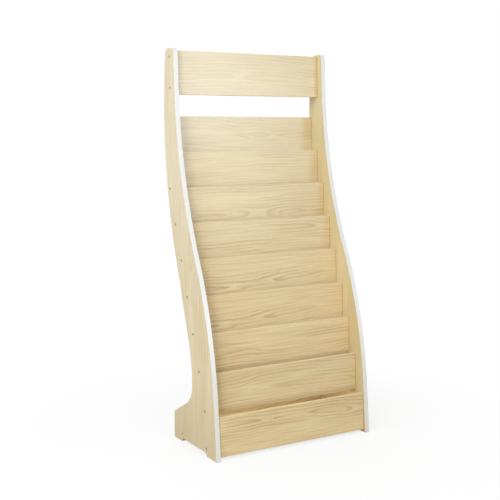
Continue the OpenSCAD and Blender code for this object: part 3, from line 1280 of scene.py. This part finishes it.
@dataclass(frozen=True)
class Dowel:
    """A fluted dowel along +Z, with chamfered ends; the end and the groove are shares."""

    diameter: float
    length: float
    flutes: int = 12
    chamfer: float = 0.8 * MM
    end: float = 0.74
    groove: float = 0.06

    def mesh(self) -> Mesh:
        """Makes the dowel.

        Returns:
            A closed mesh.
        """
        ends = (0.0, self.end), (self.chamfer, 1.0)
        stops = [*ends, *((self.length - z, share) for z, share in reversed(ends))]
        return stacked("dowel", [self.ring(self.diameter / 2 * share, z) for z, share in stops])

    def ring(self, radius: float, z: float) -> list[Point]:
        """A ring of points, of which each fourth lies in a flute."""
        sides = self.flutes * 4
        return [polar(radius * (1.0 - (s % 4 == 0) * self.groove), s / sides, z) for s in range(sides)]


@dataclass
class Fixings:
    """Panel screws, screws from below and dowels, each group set out on its node's own places."""

    panel_screw: Screw = Screw(
        diameter=5.0 * MM,
        length=50.0 * MM,
        head=9.0 * MM,
        socket=4.6 * MM,
        socket_depth=2.6 * MM,
        pitch=2.8 * MM,
        neck=12.0 * MM,
    )
    under_screw: Screw = Screw(
        diameter=3.5 * MM,
        length=35.0 * MM,
        head=7.0 * MM,
        socket=3.0 * MM,
        socket_depth=1.2 * MM,
        pitch=1.6 * MM,
        neck=11.0 * MM,
        sides=18,
    )
    dowel: Dowel = Dowel(diameter=6.0 * MM, length=30.0 * MM)

    def grower(self) -> Grower:
        """Makes the tree that puts a fastener on each point, headed inward, with a seeded turn.

        Returns:
            The tree.
        """
        made = Grower("set_out_fasteners", fastener="Object", seed="Int")
        inward = made.node("GeometryNodeInputNamedAttribute", {0: INWARD}, data_type="FLOAT_VECTOR")
        headed = made.node("FunctionNodeAlignRotationToVector", {"Vector": inward}, axis="Z")
        chance = {2: 0.0, 3: 2 * math.pi, "Seed": made.start["seed"]}
        angle = made.node("FunctionNodeRandomValue", chance, data_type="FLOAT")[1]
        turn = made.node("FunctionNodeAxisAngleToRotation", {0: (0.0, 0.0, 1.0), 1: angle})
        both = {"Rotation": headed, "Rotate By": turn}
        turned = made.node("FunctionNodeRotateRotation", both, rotation_space="LOCAL")
        shape = made.node("GeometryNodeObjectInfo", {0: made.start["fastener"]})["Geometry"]
        sockets = {"Points": made.start, "Instance": shape, "Rotation": turned}
        made.finish(made.node("GeometryNodeInstanceOnPoints", sockets))
        return made

    def places(self, node: str) -> list[tuple[Vector, Vector]]:
        """Head and inward direction of each solid of a node of fasteners.

        Args:
            node: The node.

        Returns:
            The centre of each head's outer face, and the unit vector from there to the tip.
        """
        mesh = merged_copy(node)
        waiting = set(mesh.verts)
        found = []
        while waiting:
            solid = [waiting.pop()]
            for corner in solid:
                for edge in corner.link_edges:
                    other = edge.other_vert(corner)
                    if other in waiting:
                        waiting.remove(other)
                        solid.append(other)
            found.append(self.head_of(np.array([corner.co for corner in solid])))
        mesh.free()
        return sorted(found, key=lambda place: tuple(round(value, 4) for value in place[0]))

    def head_of(self, points: np.ndarray) -> tuple[Vector, Vector]:
        """Head and inward direction of one solid.

        Args:
            points: Its vertices, one a row.

        Returns:
            What places() gives for it.
        """
        corners = np.unique(points.round(6), axis=0)
        middle = corners.mean(axis=0)
        axis = np.linalg.svd(corners - middle, full_matrices=False)[2][0]
        along = (corners - middle) @ axis
        away = np.linalg.norm(corners - middle - np.outer(along, axis), axis=1)
        widest = along[away > away.max() - 0.2 * MM].mean()
        if widest > (along.min() + along.max()) / 2:
            axis, along = -axis, -along
        return Vector(middle + axis * along.min()), Vector(axis)

    def set_out(self, node: str, shape: Mesh, finish: Finish, seed: int) -> None:
        """Sets one group of fasteners out and hands it over.

        Args:
            node: The node that holds the group's solids.
            shape: One fastener along +Z.
            finish: What it wears.
            seed: Seed of the turns.
        """
        places = self.places(node)
        points = bpy.data.meshes.new(node)
        points.from_pydata([place for place, _ in places], [], [])
        inward = points.attributes.new(INWARD, "FLOAT_VECTOR", "POINT")
        inward.data.foreach_set("vector", [value for _, way in places for value in way])
        shape.materials.append(finish.material())
        template = bpy.data.objects.new(f"{node}_template", shape)
        made = self.grower().grow(points, fastener=template, seed=seed, finish=finish.material())
        bpy.data.objects.remove(template)
        add_piece(made, f"{node}_set", node, smooth=ROUND)

    def build(self) -> None:
        """Makes all three groups."""
        self.set_out("panel_screws", self.panel_screw.mesh(), ZINC, 7)
        self.set_out("underside_screws", self.under_screw.mesh(), ZINC, 19)
        self.set_out("dowels", self.dowel.mesh(), DOWEL_WOOD, 3)


# Floor, light and camera


class Lit(Enum):
    """What a light is seen in; the value tells whether matt and glossy surfaces show it."""

    ALL = (True, True)
    MATT = (True, False)
    SHEEN = (False, True)


@dataclass(frozen=True)
class Softbox:
    """An area light that faces a point; its size is its width and height."""

    name: str
    place: Point
    aim: Point
    size: Pair
    power: float
    colour: Colour
    lit: Lit = Lit.ALL

    def build(self) -> None:
        """Hangs the light, unseen by the camera."""
        data = bpy.data.lights.new(self.name, "AREA")
        data.shape = "RECTANGLE"
        data.size, data.size_y = self.size
        data.energy = self.power
        data.color = self.colour
        light = placed(self.name, data)
        light.location = self.place
        way = Vector(self.aim) - Vector(self.place)
        light.rotation_euler = way.to_track_quat("-Z", "Y").to_euler()
        light.visible_camera = False
        light.visible_diffuse, light.visible_glossy = self.lit.value


MIDDLE = (0.0, 0.0, 0.9)
SOFTBOXES = (
    Softbox("quarter", (-2.6, -2.4, 1.8), MIDDLE, (1.0, 1.0), 48.0, (0.96, 1.0, 0.96)),
    Softbox("quarter_side", (-3.0, -1.4, 2.2), MIDDLE, (1.0, 1.0), 12.5, (0.92, 1.0, 0.9)),
    Softbox("front", (-0.2, -3.4, 2.0), MIDDLE, (1.2, 1.2), 16.0, (1.0, 0.9, 0.55)),
    Softbox("side", (-2.6, -0.4, 2.1), (-0.2, 0.0, 0.9), (1.2, 1.2), 25.0, (0.64, 0.8, 1.0)),
    Softbox("rear", (2.2, 2.8, 2.2), (0.0, 0.0, 0.7), (1.8, 1.8), 22.0, WHITE, Lit.MATT),
    Softbox("base", (0.0, -0.112, 0.12), (0.0, 0.09, 0.08), (0.48, 0.018), 0.2, (1.0, 0.93, 0.68), Lit.MATT),
    Softbox("sheen", (1.64, -3.4, 1.55), (-0.2, 0.1, 1.15), (0.7, 0.7), 45.0, (0.72, 0.87, 1.0), Lit.SHEEN),
    Softbox("wide_sheen", (1.9, -3.4, 1.3), (0.0, 0.1, 1.0), (1.5, 1.5), 20.0, (0.8, 0.97, 1.0), Lit.SHEEN),
)


@dataclass
class Studio:
    """A pale floor under soft light, and a camera at the photograph's place.

    The floor is glow to the camera by the near share at the rack, rising to all from the fade's
    second reach on. Its bounce is the tone that it lights the rack with.
    """

    eye: Point = (-1.6084, -2.6036, 1.0054)
    turn: float = math.radians(30.57)
    dip: float = math.radians(6.09)
    lens: float = 67.79
    rise: float = -0.04
    sky: float = 0.67
    floor_radius: float = 9.0
    floor_fade: Pair = (0.3, 1.1)
    floor_glow: float = 0.78
    floor_tone: Colour = (0.88, 0.88, 0.88)
    floor_bounce: Colour = (0.46, 0.38, 0.25)

    def build(self) -> None:
        """Sets up the camera, the light and the floor."""
        self.make_camera()
        self.make_sky()
        self.make_floor()
        for softbox in SOFTBOXES:
            softbox.build()
        bpy.context.scene.view_settings.view_transform = "Standard"

    def make_camera(self) -> None:
        """Puts the camera where the photograph's lines say it stood."""
        data = bpy.data.cameras.new("camera")
        data.sensor_width = 36.0
        data.lens = self.lens
        data.shift_y = self.rise
        camera = placed("camera", data)
        camera.location = self.eye
        camera.rotation_euler = (math.pi / 2 - self.dip, 0.0, -self.turn)
        bpy.context.scene.camera = camera

    def make_sky(self) -> None:
        """An even white surround, which looks brighter than it shines."""
        world = bpy.data.worlds.new("surround")
        bench = Bench.of(world)
        seen = bench.node("ShaderNodeLightPath")["Is Camera Ray"]
        sockets = {"Color": WHITE, "Strength": seen * (1.0 - self.sky) + self.sky}
        glow = bench.node("ShaderNodeBackground", sockets)
        bench.node("ShaderNodeOutputWorld", {"Surface": glow})
        bpy.context.scene.world = world

    def make_floor(self) -> None:
        """A round floor that turns into the white surround away from the rack."""
        mesh = bmesh.new()
        bmesh.ops.create_circle(mesh, cap_ends=True, segments=96, radius=self.floor_radius)
        data = bpy.data.meshes.new("floor")
        mesh.to_mesh(data)
        mesh.free()
        data.materials.append(self.floor_material())
        placed("floor", data)

    def floor_material(self) -> Material:
        """Matt white near the rack, and as white as the surround further off.

        Returns:
            The floor's material.
        """
        made = bpy.data.materials.new("floor")
        bench = Bench.of(made)
        place = bench.place()
        away = bench.node("ShaderNodeVectorMath", {0: place}, operation="LENGTH")["Value"]
        seen = bench.node("ShaderNodeLightPath")["Is Camera Ray"]
        glowing = away.ramp(*self.floor_fade) * (1.0 - self.floor_glow) + self.floor_glow
        speckle = bench.noise(place, (60.0, 60.0, 60.0), 3.0)
        tone = bench.mixed(seen, self.floor_bounce, self.floor_tone)
        sockets = {"Base Color": tone, "Roughness": 0.85 + speckle * 0.1}
        matt = bench.node("ShaderNodeBsdfPrincipled", sockets)
        glow = bench.node("ShaderNodeEmission", {"Color": WHITE})
        both = bench.node("ShaderNodeMixShader", {0: glowing * seen, 1: matt, 2: glow})
        bench.node("ShaderNodeOutputMaterial", {"Surface": both})
        return made


def main() -> None:
    """Builds the rack and its studio."""
    logging.basicConfig(level=logging.INFO, format="%(name)s: %(message)s")
    SidePanel("left_side_panel", 61.3, 0.03, PANEL_FACE).build()
    SidePanel("right_side_panel", 67.9, -0.05, SHADED_PANEL_FACE).build()
    FrontEdging().build()
    CrossBoards().build()
    Fixings().build()
    Studio().build()


if __name__ == "__main__":
    main()
